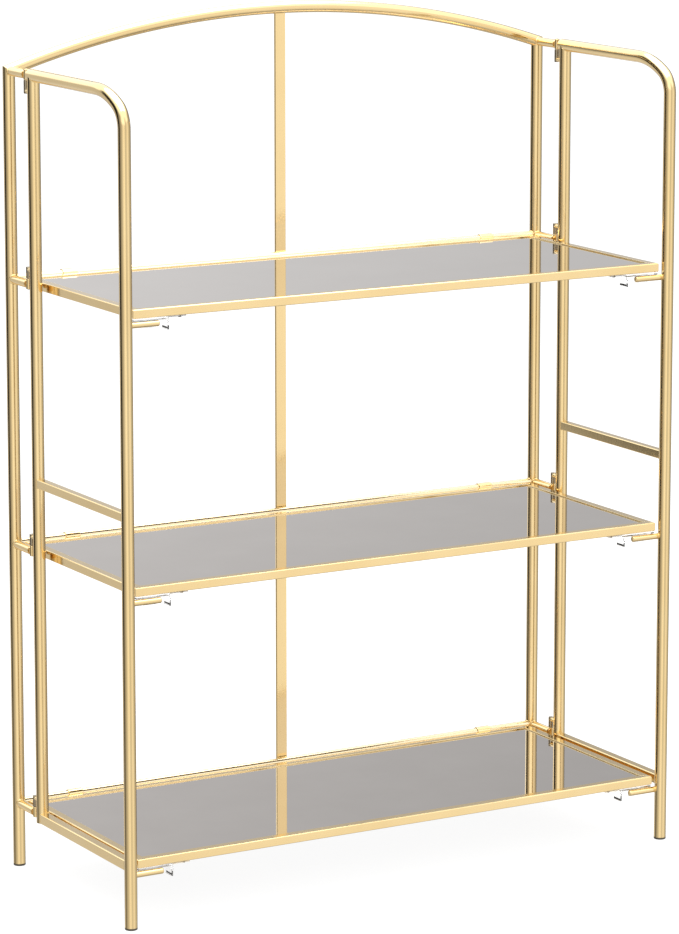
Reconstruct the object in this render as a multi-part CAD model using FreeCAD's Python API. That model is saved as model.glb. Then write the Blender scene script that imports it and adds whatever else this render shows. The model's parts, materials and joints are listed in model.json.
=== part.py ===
import FreeCAD, Part
import math
import os

# Foldable shelf rack: an arched back frame, two side frames that swing on stepped pins, and
# three framed glass shelves that flip up on the back frame's rails. Millimetres, +Z up, the
# front towards -Y, and the origin on the floor under the middle of the outer box.

# Round tube of the legs, arch, posts and top tubes
tube_diameter = 12.5
tube_wall = 1.0
leg_spacing = 620.0
frame_depth = 249.5
plug_clearance = 0.05
end_plug_thickness = 2.0

# Arch over the two rear legs, mitred to them at the shoulders
arch_radius = 1000.0
arch_end_run = 12.0
shoulder_height = 814.0
mitre_reach = 25.0

# Foot glides
glide_height = 2.2
glide_edge = 0.7
glide_stem = 8.0

# Rear rails and the flat centre bar behind them
rail_diameter = 9.0
rail_wall = 1.0
centre_bar_width = 12.0
centre_bar_thickness = 3.0
centre_bar_seat = 0.4

# Hinge arms on the legs, each with an upright barrel at its end
arm_diameter = 9.0
top_arm_lift = -0.2
barrel_diameter = 5.2
barrel_height = 10.5
barrel_overlap = 1.0
pin_setback = 39.3

# Hinge pins on the side frames: a thick knuckle carried by a stub, and a thin pin in the barrel
pin_diameter = 3.0
pin_clearance = 0.08
pin_tail = 0.5
knuckle_diameter = 5.2
knuckle_gap = 0.3
knuckle_cap = 0.4
stub_diameter = 4.6
stub_rise = 14.3
top_stub_drop = 16.2

# Side frames: the tube bends tight above the front post, then wide into the top tube
side_post_setback = 55.5
side_tube_height = 814.0
side_tight_bend_radius = 25.0
side_tight_bend_angle = 60.0
side_wide_bend_radius = 90.0
mid_rail_size = 9.0
mid_rail_height = 408.1
bottom_rail_size = 10.0
side_rail_wall = 1.0

# Latch rods on the front posts
latch_rod_diameter = 6.0
latch_rod_setback = 3.5
latch_rod_reach = 37.0
latch_rod_gap = 3.0
latch_rod_round = 1.0

# Shelf frames
first_shelf_height = 58.8
shelf_spacing = 270.1
shelf_bar_width = 9.0
shelf_bar_height = 8.8
shelf_bar_wall = 1.0
shelf_side_gap = 3.0
shelf_front_setback = 2.5
shelf_rear_gap = 2.5
rail_rise = 7.0

# Corner radius of every square tube, as a share of its wall
corner_share = 1.3

# Shelf panels and the tabs that carry them
panel_thickness = 4.0
panel_recess = 1.2
panel_gap = 0.5
panel_edge = 0.4
tab_length = 14.0
tab_reach = 8.0
tab_thickness = 1.5
tab_place_share = 0.6

# Hinge sleeves on the rear bars
sleeve_diameter = 11.0
sleeve_length = 16.0
sleeve_inset = 54.0
sleeve_clearance = 0.08
bridge_height = 5.0

# Catches under the shelves' front corners
catch_edge_inset = 1.0
catch_length = 56.0
catch_depth = 7.6
catch_front_inset = 0.6
catch_plate = 1.2
saddle_clearance = 0.3
catch_wall_inset = 11.0
catch_wall_length = 14.0
catch_wall = 1.6
catch_wall_gap = 1.2
catch_wall_drop = 10.5
catch_tab_inset = 37.0
catch_tab_length = 13.0
catch_tab_drop = 13.0
tab_groove_depth = 0.8
tab_groove_height = 1.7
tab_groove_margin = 0.7

# Catch screws
screw_inset = 52.0
screw_head_diameter = 3.6
screw_head_height = 1.2
screw_shank_diameter = 2.2
screw_shank_length = 4.0
screw_clearance = 0.1

# Places worked out from the sizes above
shelf_names = ("bottom", "middle", "top")
up = FreeCAD.Vector(0, 0, 1)
tube_radius = tube_diameter / 2
tube_bore = tube_radius - tube_wall
rail_radius = rail_diameter / 2
pin_radius = pin_diameter / 2
stub_radius = stub_diameter / 2
leg_x = leg_spacing / 2
centre_bar_front = rail_radius - centre_bar_seat
rear_reach = max(tube_radius, centre_bar_front + centre_bar_thickness)
leg_y = (frame_depth + tube_radius - rear_reach) / 2
post_y = leg_y - frame_depth
rear_post_y = leg_y - side_post_setback
pin_y = leg_y - pin_setback
tight_bend = (side_tight_bend_radius, side_tight_bend_angle)
wide_bend = (side_wide_bend_radius, 90 - side_tight_bend_angle)
side_bends = (tight_bend, wide_bend)
arch_angle = math.asin(leg_x / math.hypot(arch_radius, arch_end_run)) - math.atan(arch_end_run / arch_radius)
arch_spring = shoulder_height + arch_end_run * math.sin(arch_angle)
arch_centre_height = arch_spring - arch_radius * math.cos(arch_angle)
arch_top = arch_centre_height + arch_radius
shelf_half = leg_x - tube_radius - shelf_side_gap
shelf_front = post_y + shelf_front_setback
shelf_rear = leg_y - rail_radius - shelf_rear_gap
shelf_heights = [first_shelf_height + shelf_spacing * level for level in range(len(shelf_names))]
rail_heights = [height + rail_rise for height in shelf_heights]
top_arm_height = side_tube_height + top_arm_lift
latch_rod_radius = latch_rod_diameter / 2
latch_rod_y = post_y + latch_rod_setback


def vector(x, y, z):
    return FreeCAD.Vector(x, y, z)


def box(x_span, y_span, z_span):
    """Block between two values on each axis."""
    corner = vector(x_span[0], y_span[0], z_span[0])
    return Part.makeBox(x_span[1] - x_span[0], y_span[1] - y_span[0], z_span[1] - z_span[0], corner)


def rod(start, end, radius):
    run = end - start
    return Part.makeCylinder(radius, run.Length, start, run)


def tube(start, end, radius, wall):
    return rod(start, end, radius).cut(rod(start, end, radius - wall))


def disc_face(centre, normal, radius):
    return Part.Face(Part.Wire([Part.Circle(centre, normal, radius).toShape()]))


def bent_rod(start, corner, end, bends, radius):
    """Round rod along two runs square to each other, joined by tangent arcs of a radius and an angle."""
    along = (corner - start).normalize()
    ahead = (end - corner).normalize()
    arcs = []
    place = vector(0, 0, 0)
    turned = 0
    for bend_radius, angle in bends:
        heading = along * math.cos(turned) + ahead * math.sin(turned)
        centre = place + (ahead * math.cos(turned) - along * math.sin(turned)) * bend_radius
        arcs.append((place, heading, centre, angle))
        turned += math.radians(angle)
        place = centre - (ahead * math.cos(turned) - along * math.sin(turned)) * bend_radius
    bend_start = corner - along * place.dot(along)
    bend_end = corner + ahead * place.dot(ahead)
    elbows = []
    for arc_start, heading, centre, angle in arcs:
        section = disc_face(bend_start + arc_start, heading, radius)
        elbows.append(section.revolve(bend_start + centre, along.cross(ahead), angle))
    first = rod(start, bend_start, radius)
    last = rod(bend_end, end, radius)
    return first.fuse(elbows + [last]).removeSplitter()


def rounded_bar(start, end, width, height, corner_radius):
    """Level bar from start to end whose section is a rectangle with round corners."""
    run = end - start
    across = up.cross(run).normalize()
    side = width / 2 - corner_radius
    rise = height / 2 - corner_radius
    arcs = []
    for quarter in range(4):
        sideways = 1 if quarter in (0, 3) else -1
        upward = 1 if quarter in (0, 1) else -1
        centre = start + across * (side * sideways) + up * (rise * upward)
        rim = []
        for step in range(3):
            angle = math.radians(90 * quarter + 45 * step)
            rim.append(centre + (across * math.cos(angle) + up * math.sin(angle)) * corner_radius)
        arcs.append(rim)
    edges = []
    for quarter in range(4):
        rim = arcs[quarter]
        following = arcs[(quarter + 1) % 4]
        edges.append(Part.Arc(rim[0], rim[1], rim[2]).toShape())
        edges.append(Part.LineSegment(rim[2], following[0]).toShape())
    return Part.Face(Part.Wire(edges)).extrude(run)


def square_tube(start, end, width, height, wall):
    outer_corner = wall * corner_share
    outer = rounded_bar(start, end, width, height, outer_corner)
    inner = rounded_bar(start, end, width - 2 * wall, height - 2 * wall, outer_corner - wall)
    return outer.cut(inner)


def mirrored(shape):
    """The same shape on the other side of the rack's middle plane."""
    return shape.mirror(vector(0, 0, 0), vector(1, 0, 0))


def pair(shape):
    return Part.makeCompound([shape, mirrored(shape)])


def arch_rod(radius):
    """Round rod along the arch, with a straight end that runs on past each leg."""
    centre = vector(0, leg_y, arch_centre_height)
    outward = vector(math.sin(arch_angle), 0, math.cos(arch_angle))
    downhill = vector(math.cos(arch_angle), 0, -math.sin(arch_angle))
    spring = centre + outward * arch_radius
    face = disc_face(spring, downhill, radius)
    ring = face.revolve(centre, vector(0, -1, 0), math.degrees(2 * arch_angle))
    end = rod(spring, spring + downhill * (arch_end_run + mitre_reach), radius)
    return ring.fuse([end, mirrored(end)]).removeSplitter()


def arch_side():
    """Block over both shoulders, bounded by the planes that halve the legs' corners with the arch."""
    tilt = (math.radians(90) - arch_angle) / 2
    run = mitre_reach * math.cos(tilt)
    rise = mitre_reach * math.sin(tilt)
    back = leg_y - tube_diameter
    top = arch_top + tube_diameter
    half = [
        vector(leg_x - run, back, shoulder_height - rise),
        vector(leg_x + run, back, shoulder_height + rise),
        vector(leg_x + run, back, top),
    ]
    other = [vector(-corner.x, corner.y, corner.z) for corner in reversed(half)]
    outline = Part.makePolygon(half + other + half[:1])
    return Part.Face(outline).extrude(vector(0, 2 * tube_diameter, 0))


def foot_glide(x, y):
    """Disc under a tube with a stem inside it."""
    foot = rod(vector(x, y, 0), vector(x, y, glide_height), tube_radius)
    bottom_edges = [edge for edge in foot.Edges if edge.BoundBox.ZMax < glide_height / 2]
    foot = foot.makeFillet(glide_edge, bottom_edges)
    stem = rod(vector(x, y, 0), vector(x, y, glide_height + glide_stem), tube_bore - plug_clearance)
    stem = stem.cut(rod(vector(x, y, 0), vector(x, y, glide_height / 2), tube_radius))
    return foot.fuse(stem).removeSplitter()


def upright(x, y, z_span, radius):
    return rod(vector(x, y, z_span[0]), vector(x, y, z_span[1]), radius)


def back_frame():
    """Legs, arch, rails, centre bar, hinge arms and rear glides."""
    nodes = {}
    over_mitre = arch_side()
    arch_solid = arch_rod(tube_radius).common(over_mitre)
    leg_top = shoulder_height + tube_diameter
    leg_solid = upright(leg_x, leg_y, (0, leg_top), tube_radius).cut(over_mitre)
    foot = vector(leg_x, leg_y, glide_height)
    head = vector(leg_x, leg_y, leg_top)
    nodes["rear_leg_right"] = tube(foot, head, tube_radius, tube_wall).cut(over_mitre)
    nodes["rear_leg_left"] = mirrored(nodes["rear_leg_right"])
    nodes["top_arch"] = arch_solid.cut(arch_rod(tube_bore))

    rails = []
    for name, height in zip(shelf_names, rail_heights):
        rail = tube(vector(-leg_x, leg_y, height), vector(leg_x, leg_y, height), rail_radius, rail_wall)
        nodes["rear_rail_" + name] = rail.cut([leg_solid, mirrored(leg_solid)])
        rails.append(rod(vector(-leg_x, leg_y, height), vector(leg_x, leg_y, height), rail_radius))

    bar_half = centre_bar_width / 2
    bar_y = (leg_y + centre_bar_front, leg_y + centre_bar_front + centre_bar_thickness)
    bar = box((-bar_half, bar_half), bar_y, (rail_heights[0] - rail_radius, arch_top))
    nodes["centre_bar"] = bar.cut(rails + [arch_solid])

    arms = [hinge_arm(height).cut([leg_solid, arch_solid]) for height in rail_heights + [top_arm_height]]
    nodes["hinge_arms_right"] = Part.makeCompound(arms)
    nodes["hinge_arms_left"] = mirrored(nodes["hinge_arms_right"])
    nodes["rear_foot_glides"] = pair(foot_glide(leg_x, leg_y))
    return nodes


def hinge_arm(height):
    """Round arm from the right leg to an upright barrel with a running bore for the pin."""
    barrel_radius = barrel_diameter / 2
    arm_end = pin_y + barrel_radius - barrel_overlap
    arm = rod(vector(leg_x, leg_y, height), vector(leg_x, arm_end, height), arm_diameter / 2)
    barrel_z = (height - barrel_height / 2, height + barrel_height / 2)
    barrel = upright(leg_x, pin_y, barrel_z, barrel_radius)
    bore = upright(leg_x, pin_y, barrel_z, pin_radius + pin_clearance)
    return arm.fuse(barrel).cut(bore)


def hinge_pin(arm_height, stub_height):
    """Thin pin through an arm's barrel, with a knuckle past it that a stub joins to the rear post."""
    way = 1 if stub_height > arm_height else -1
    free_end = arm_height - way * (barrel_height / 2 + pin_tail)
    shoulder = arm_height + way * (barrel_height / 2 + knuckle_gap)
    knuckle_end = stub_height + way * (stub_radius + knuckle_cap)
    pin = upright(leg_x, pin_y, (free_end, stub_height), pin_radius)
    knuckle = upright(leg_x, pin_y, (shoulder, knuckle_end), knuckle_diameter / 2)
    stub = rod(vector(leg_x, pin_y, stub_height), vector(leg_x, rear_post_y, stub_height), stub_radius)
    return pin.fuse([knuckle, stub]).removeSplitter()


def side_frame():
    """The right side frame: bent tube, rear post, rails, pins, latch rods, plugs and glide."""
    nodes = {}
    foot = vector(leg_x, post_y, glide_height)
    corner = vector(leg_x, post_y, side_tube_height)
    rear_end = vector(leg_x, rear_post_y + tube_radius, side_tube_height)
    tube_solid = bent_rod(foot, corner, rear_end, side_bends, tube_radius)
    nodes["side_tube"] = tube_solid.cut(bent_rod(foot, corner, rear_end, side_bends, tube_bore))

    post_bottom = vector(leg_x, rear_post_y, first_shelf_height)
    post_top = vector(leg_x, rear_post_y, side_tube_height)
    post_solid = rod(post_bottom, post_top, tube_radius)
    nodes["rear_post"] = tube(post_bottom, post_top, tube_radius, tube_wall).cut(tube_solid)

    rails = (
        ("mid_rail", mid_rail_size, mid_rail_height),
        ("bottom_rail", bottom_rail_size, first_shelf_height + bottom_rail_size / 2),
    )
    for name, size, height in rails:
        start = vector(leg_x, post_y, height)
        end = vector(leg_x, rear_post_y, height)
        rail = square_tube(start, end, size, size, side_rail_wall)
        nodes[name] = rail.cut([tube_solid, post_solid])

    pins = [hinge_pin(height, height + stub_rise) for height in rail_heights]
    pins.append(hinge_pin(top_arm_height, top_arm_height - top_stub_drop))
    nodes["hinge_pins"] = Part.makeCompound([pin.cut(post_solid) for pin in pins])

    rods = []
    for height in shelf_heights:
        rod_height = height - latch_rod_gap - latch_rod_radius
        free_end = vector(leg_x - latch_rod_reach, latch_rod_y, rod_height)
        latch_rod = rod(free_end, vector(leg_x, latch_rod_y, rod_height), latch_rod_radius)
        tips = [edge for edge in latch_rod.Edges if edge.BoundBox.XMax < free_end.x + latch_rod_radius]
        rods.append(latch_rod.makeFillet(latch_rod_round, tips).cut(tube_solid))
    nodes["latch_rods"] = Part.makeCompound(rods)

    plug_radius = tube_bore - plug_clearance
    top_plug = rod(rear_end, rear_end - vector(0, end_plug_thickness, 0), plug_radius)
    post_plug = rod(post_bottom, post_bottom + vector(0, 0, end_plug_thickness), plug_radius)
    nodes["end_plugs"] = Part.makeCompound([top_plug, post_plug])
    nodes["front_glide"] = foot_glide(leg_x, post_y)
    return nodes


def mitred_bars(height):
    """The four square tubes of one shelf frame, mitred at the corners."""
    middle = height + shelf_bar_height / 2
    half_bar = shelf_bar_width / 2
    outer = (
        vector(-shelf_half, shelf_front, height),
        vector(shelf_half, shelf_front, height),
        vector(shelf_half, shelf_rear, height),
        vector(-shelf_half, shelf_rear, height),
    )
    inward = ((1, 1), (-1, 1), (-1, -1), (1, -1))
    inner = [
        corner + vector(shelf_bar_width * way[0], shelf_bar_width * way[1], 0)
        for corner, way in zip(outer, inward)
    ]
    bars = {}
    for index, name in enumerate(("front_bar", "right_bar", "rear_bar", "left_bar")):
        following = (index + 1) % 4
        plan = [outer[index], outer[following], inner[following], inner[index], outer[index]]
        wedge = Part.Face(Part.makePolygon(plan)).extrude(vector(0, 0, shelf_bar_height))
        along = (outer[following] - outer[index]).normalize()
        offset = up.cross(along) * half_bar + vector(0, 0, middle - height)
        start = outer[index] + offset
        end = outer[following] + offset
        bar = square_tube(start, end, shelf_bar_width, shelf_bar_height, shelf_bar_wall)
        bars[name] = bar.common(wedge)
    return bars


def screw_holes(height):
    """Clearance shanks that the two catch screws need, below and inside the front bar."""
    top = height + screw_shank_length
    radius = screw_shank_diameter / 2 + screw_clearance
    hole = upright(shelf_half - screw_inset, screw_y(), (height - catch_plate, top), radius)
    return pair(hole)


def screw_y():
    return shelf_front + catch_front_inset + catch_depth / 2


def catch_screw(height):
    """Round-head screw up through the catch's plate into the front bar."""
    x = shelf_half - screw_inset
    plate_bottom = height - catch_plate
    head = upright(x, screw_y(), (plate_bottom - screw_head_height, plate_bottom), screw_head_diameter / 2)
    lower_rim = [edge for edge in head.Edges if edge.BoundBox.ZMax < plate_bottom - screw_head_height / 2]
    head = head.makeFillet(screw_head_height / 2, lower_rim)
    shank_z = (plate_bottom - screw_head_height / 2, plate_bottom + screw_shank_length)
    shank = upright(x, screw_y(), shank_z, screw_shank_diameter / 2)
    return head.fuse(shank).removeSplitter()


def catch(height):
    """Moulded plate with a saddle and a wall round the latch rod, and a grooved tab that hangs."""
    outer_end = shelf_half - catch_edge_inset
    front = shelf_front + catch_front_inset
    back = front + catch_depth
    plate = box((outer_end - catch_length, outer_end), (front, back), (height - catch_plate, height))
    wall_outer = shelf_half - catch_wall_inset
    wall_front = latch_rod_y + latch_rod_radius + catch_wall_gap
    wall_y = (wall_front, wall_front + catch_wall)
    wall = box((wall_outer - catch_wall_length, wall_outer), wall_y, (height - catch_wall_drop, height))
    tab_outer = shelf_half - catch_tab_inset
    tab_inner = tab_outer - catch_wall
    tab_bottom = height - catch_tab_drop
    tab_y = (front, front + catch_tab_length)
    tab = box((tab_inner, tab_outer), tab_y, (tab_bottom, height))
    groove_y = (tab_y[0] + tab_groove_margin, tab_y[1] - tab_groove_margin)
    groove_z = (tab_bottom + tab_groove_margin, tab_bottom + tab_groove_margin + tab_groove_height)
    groove = box((tab_inner, tab_inner + tab_groove_depth), groove_y, groove_z)
    saddle_bottom = height - latch_rod_gap + saddle_clearance
    saddle = box((tab_inner, outer_end), (front, back), (saddle_bottom, height))
    return plate.fuse([saddle, wall, tab]).cut(groove).removeSplitter()


def panel_tabs(height):
    """Steel tabs on the frame's inner faces, with their tops at the panel's underside."""
    inner_x = shelf_half - shelf_bar_width
    inner_front = shelf_front + shelf_bar_width
    inner_rear = shelf_rear - shelf_bar_width
    top = height + shelf_bar_height - panel_recess - panel_thickness
    z_span = (top - tab_thickness, top)
    place = inner_x * tab_place_share
    middle = (inner_front + inner_rear) / 2
    long_x = (place - tab_length / 2, place + tab_length / 2)
    front_tab = box(long_x, (inner_front, inner_front + tab_reach), z_span)
    rear_tab = box(long_x, (inner_rear - tab_reach, inner_rear), z_span)
    side_y = (middle - tab_length / 2, middle + tab_length / 2)
    side_tab = box((inner_x - tab_reach, inner_x), side_y, z_span)
    tabs = [front_tab, rear_tab, side_tab]
    return Part.makeCompound(tabs + [mirrored(tab) for tab in tabs])


def panel(height):
    """Glass plate inside the frame with its edges eased."""
    edge_x = shelf_half - shelf_bar_width - panel_gap
    edge_y = (shelf_front + shelf_bar_width + panel_gap, shelf_rear - shelf_bar_width - panel_gap)
    top = height + shelf_bar_height - panel_recess
    plate = box((-edge_x, edge_x), edge_y, (top - panel_thickness, top))
    rim = [edge for edge in plate.Edges if edge.BoundBox.ZMin > top - panel_thickness / 2]
    return plate.makeChamfer(panel_edge, rim)


def hinge_sleeve(height):
    """Short sleeve round the rear rail, bridged to the rear bar."""
    centre = shelf_half - sleeve_inset
    start = vector(centre - sleeve_length / 2, leg_y, height + rail_rise)
    end = vector(centre + sleeve_length / 2, leg_y, height + rail_rise)
    ring = rod(start, end, sleeve_diameter / 2)
    bridge_middle = height + shelf_bar_height / 2
    bridge_z = (bridge_middle - bridge_height / 2, bridge_middle + bridge_height / 2)
    bridge = box((start.x, end.x), (shelf_rear, leg_y), bridge_z)
    return ring.fuse(bridge).removeSplitter().cut(rod(start, end, rail_radius + sleeve_clearance))


def shelf(height):
    """One shelf: frame, panel, tabs, sleeves, catches and screws."""
    nodes = mitred_bars(height)
    holes = screw_holes(height)
    nodes["front_bar"] = nodes["front_bar"].cut(holes)
    nodes["panel"] = panel(height)
    nodes["panel_tabs"] = panel_tabs(height)
    nodes["hinge_sleeves"] = pair(hinge_sleeve(height))
    nodes["catches"] = pair(catch(height)).cut(holes)
    nodes["catch_screws"] = pair(catch_screw(height))
    return nodes


def build():
    nodes = back_frame()
    for name, shape in side_frame().items():
        nodes["right_" + name] = shape
        nodes["left_" + name] = mirrored(shape)
    for shelf_name, height in zip(shelf_names, shelf_heights):
        for name, shape in shelf(height).items():
            nodes[shelf_name + "_shelf_" + name] = shape
    return nodes


os.makedirs("parts", exist_ok=True)
for node, shape in build().items():
    shape.exportStep("parts/" + node + ".step")
    print(node, len(shape.Solids), shape.isValid(), round(shape.Volume, 1))
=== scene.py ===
import bmesh
import bpy
import json
import math
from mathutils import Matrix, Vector


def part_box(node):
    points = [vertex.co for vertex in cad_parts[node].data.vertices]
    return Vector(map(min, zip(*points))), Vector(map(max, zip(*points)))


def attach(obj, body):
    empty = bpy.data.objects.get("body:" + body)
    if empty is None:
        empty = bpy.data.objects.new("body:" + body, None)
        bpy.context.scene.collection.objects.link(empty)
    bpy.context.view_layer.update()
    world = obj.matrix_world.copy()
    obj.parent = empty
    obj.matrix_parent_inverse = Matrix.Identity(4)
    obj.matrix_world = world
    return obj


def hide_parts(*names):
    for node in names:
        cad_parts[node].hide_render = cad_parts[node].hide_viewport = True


# Foldable shelf rack in gold lacquered steel tube with grey mirrored glass shelves. Metres, the
# front towards -Y. Round and bent tubes, square bars, hinge parts and catches are modelled here
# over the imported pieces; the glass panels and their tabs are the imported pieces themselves.
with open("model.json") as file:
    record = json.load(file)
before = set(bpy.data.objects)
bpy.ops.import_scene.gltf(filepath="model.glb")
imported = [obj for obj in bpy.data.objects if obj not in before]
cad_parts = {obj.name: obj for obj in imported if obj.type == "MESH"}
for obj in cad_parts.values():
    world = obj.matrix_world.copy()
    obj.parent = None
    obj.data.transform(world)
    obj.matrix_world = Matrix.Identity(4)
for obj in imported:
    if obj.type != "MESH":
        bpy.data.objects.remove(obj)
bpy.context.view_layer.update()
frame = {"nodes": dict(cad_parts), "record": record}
record = frame["record"]
hinges = {joint["name"]: Vector(joint["pos_m"]) for joint in record["behaviour"]["joints"]}

# The camera that matches the photograph: place in metres, angles in degrees, image in pixels
CAMERA_PLACE = (-2.0618, -3.5597, 1.2296)
CAMERA_TURN = -30.03
CAMERA_TILT = 80.13
CAMERA_REACH = 100.0
PICTURE_HEIGHT = 934
FOCAL_PIXELS = 4123.9
PRINCIPAL_ROW = 361.4
SENSOR = 36.0

# Places given by the frame
LEVELS = ("bottom", "middle", "top")
SIDES = {"left": -1, "right": 1}
LEG_X = hinges["right_side_hinge"].x
PIN_Y = hinges["right_side_hinge"].y
LEG_Y = hinges["top_shelf_hinge"].y
RAIL_Z = {level: hinges[level + "_shelf_hinge"].z for level in LEVELS}
SHELF_Z = {level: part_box(level + "_shelf_front_bar")[0].z for level in LEVELS}
SHELF_BOX_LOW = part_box("top_shelf_front_bar")[0]
SHELF_BOX_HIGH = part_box("top_shelf_rear_bar")[1]
FRONT_FOOT_LOW, FRONT_FOOT_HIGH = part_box("right_front_glide")
POST_Y = (FRONT_FOOT_LOW.y + FRONT_FOOT_HIGH.y) / 2

# Tubes, rails and wires: radii, the tube's wall and the sides of each round
TUBE = 0.00625
TUBE_WALL = 0.001
RAIL = 0.0045
ARM = 0.0045
PIN = 0.0015
KNUCKLE = 0.0026
STUB = 0.0023
ROD = 0.003
SIDES_OF_TUBE = 56
SIDES_OF_WIRE = 32

# Back frame
ARCH_RADIUS = 1.0
ARCH_END_RUN = 0.012
SHOULDER_Z = 0.814
ARCH_ANGLE = (math.asin(LEG_X / math.hypot(ARCH_RADIUS, ARCH_END_RUN))
              - math.atan(ARCH_END_RUN / ARCH_RADIUS))
ARCH_CENTRE_Z = (SHOULDER_Z + ARCH_END_RUN * math.sin(ARCH_ANGLE)
                 - ARCH_RADIUS * math.cos(ARCH_ANGLE))
MITRE_TILT = (math.pi / 2 - ARCH_ANGLE) / 2
MITRE_REACH = 0.025
ARCH_TUBE = TUBE - 0.0001
ARCH_STEPS = 96
GLIDE_HEIGHT = 0.0022
GLIDE_EDGE = 0.0007
CENTRE_BAR_SEAT = 0.0004
CENTRE_BAR_THICKNESS = 0.003
CENTRE_BAR_HALF = 0.006
CENTRE_BAR_EASE = 0.0005
BAR_WELD_HALF = 0.0022
TOP_ARM_LIFT = -0.0002
BARREL = 0.0026
BARREL_HALF = 0.00525
BARREL_OVERLAP = 0.0010
BARREL_WELD_SHARE = 0.98

# Side frames
REAR_POST_SETBACK = 0.0555
REAR_POST_Y = LEG_Y - REAR_POST_SETBACK
SIDE_TOP_Z = 0.814
TOP_ARM_Z = SIDE_TOP_Z + TOP_ARM_LIFT
# The side tube's bends, from the front post on: radius, degrees and steps
SIDE_BENDS = ((0.025, 60, 16), (0.090, 30, 16))
MID_RAIL_Z = 0.4081
MID_RAIL_HALF = 0.0045
BOTTOM_RAIL_HALF = 0.005
PIN_TAIL = 0.0005
KNUCKLE_GAP = 0.0003
KNUCKLE_CAP = 0.0004
STUB_RISE = 0.0143
TOP_STUB_DROP = 0.0162
ROD_SETBACK = 0.0035
ROD_REACH = 0.037
ROD_GAP = 0.003
ROD_ROUND = 0.0010

# Shelves
BAR_CORNER = 0.0013
BAR_LOWER_CORNER = 0.0008
BAR_PANEL_CORNER = 0.0003
SHORTEST_BAR = 0.1
CORNER_LINE = 0.00018
SLEEVE = 0.0055
SLEEVE_HALF = 0.008
SLEEVE_INSET = 0.054
SLEEVE_EASE = 0.0003
SLEEVE_LIP = 0.0005
SLEEVE_RECESS = 0.0006
BRIDGE_HALF = 0.0025
BRIDGE_OVERLAP = 0.0005
BRIDGE_EASE = 0.0006
CATCH_PLATE = 0.0012
CATCH_MIDDLE = 0.0044
CATCH_EASE = 0.00025
CATCH_SETBACK = 0.0006
TAB_START = 0.012
GROOVE_LIP = 0.0001
GROOVE_REACH = 0.0009
GROOVE_TOP = 0.0102
GROOVE_BOTTOM = 0.0125
GROOVE_HALF = 0.0060
GROOVE_SETBACK = 0.0065
GROOVE_Y = SHELF_BOX_LOW.y + CATCH_SETBACK + GROOVE_SETBACK
SCREW_INSET = 0.052
SCREW_HEAD = 0.0018
SCREW_HEAD_HEIGHT = 0.0012
SCREW_DOME_SHARE = 0.45
SCREW_RIM = 0.0005
SCREW_RECESS = 0.0005

# Small finishing sizes
PLUG_RECESS = 0.0003
WELD_BEAD = 0.0007
FINE_BEAD = 0.0004
RIM_EASE = 0.0004
RIM_HOLD_SHARE = 1.6
BEND_HOLD_SHARE = 0.2
OUTLINE_STEPS = 8

# Limits of the tests that pick faces and edges
ON_PLANE = 1e-5
ON_EDGE = 1e-6
SQUARE_ON = 0.99
NEARLY_ALONG = 0.9
FLAT_DEGREES = 2


# Modelling helpers


def deselect_all():
    bpy.ops.object.select_all(action="DESELECT")


def make_active(piece):
    """Select this piece alone and make it the active one."""
    deselect_all()
    piece.select_set(True)
    bpy.context.view_layer.objects.active = piece


def apply_place(piece):
    make_active(piece)
    bpy.ops.object.transform_apply(location=True, rotation=True, scale=True)


def edit(piece, kind):
    """Open the piece in edit mode with nothing selected."""
    make_active(piece)
    bpy.ops.object.mode_set(mode="EDIT")
    bpy.ops.mesh.select_mode(type=kind)
    bpy.ops.mesh.select_all(action="DESELECT")
    return bmesh.from_edit_mesh(piece.data)


def edit_all(piece, kind):
    """Open the piece in edit mode with all of it selected."""
    edit(piece, kind)
    bpy.ops.mesh.select_all(action="SELECT")


def close_edit():
    bpy.ops.object.mode_set(mode="OBJECT")


def pick_faces(piece, mesh, test):
    for face in mesh.faces:
        face.select_set(test(face))
    mesh.select_flush_mode()
    bmesh.update_edit_mesh(piece.data)


def pick_edges(piece, mesh, test):
    for edge in mesh.edges:
        edge.select_set(test(edge))
    mesh.select_flush_mode()
    bmesh.update_edit_mesh(piece.data)


def on_plane(point, place, normal):
    return abs((point - place).dot(normal)) < ON_PLANE


def hold_ring(piece, place, normal):
    """Ring of edges where a plane crosses the piece: it keeps a rim's or bend's shading there."""
    edit_all(piece, "VERT")
    bpy.ops.mesh.bisect(plane_co=place, plane_no=normal)
    close_edit()


def ease_rim(piece, place, normal, width, segments=3):
    """Bevel the edges that lie on one plane."""
    mesh = edit(piece, "EDGE")
    pick_edges(piece, mesh, lambda edge: all(on_plane(end.co, place, normal) for end in edge.verts))
    bpy.ops.mesh.bevel(offset=width, segments=segments, profile=0.5)
    close_edit()
    for way in (1, -1):
        hold_ring(piece, place + normal * (way * width * RIM_HOLD_SHARE), normal)


def sink_end(piece, place, normal, rim, depth):
    """Inset the flat end face at a place and push it in, which leaves a rim round it."""
    mesh = edit(piece, "FACE")
    pick_faces(piece, mesh, lambda face: on_plane(face.calc_center_median(), place, normal)
               and abs(face.normal.dot(normal)) > SQUARE_ON)
    bpy.ops.mesh.inset(thickness=rim)
    bpy.ops.mesh.extrude_region_move(TRANSFORM_OT_translate={"value": normal * -depth})
    close_edit()


def round_rod(start, end, radius, sides=SIDES_OF_TUBE, ease=0.0):
    """Round bar between two points, with its end rims eased."""
    start, end = Vector(start), Vector(end)
    run = end - start
    turn = run.to_track_quat("Z", "Y").to_euler()
    deselect_all()
    bpy.ops.mesh.primitive_cylinder_add(
        vertices=sides, radius=radius, depth=run.length, location=(start + end) / 2, rotation=turn)
    piece = bpy.context.object
    apply_place(piece)
    if ease:
        way = run.normalized()
        ease_rim(piece, start, way, ease)
        ease_rim(piece, end, way, ease)
    return piece


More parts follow.
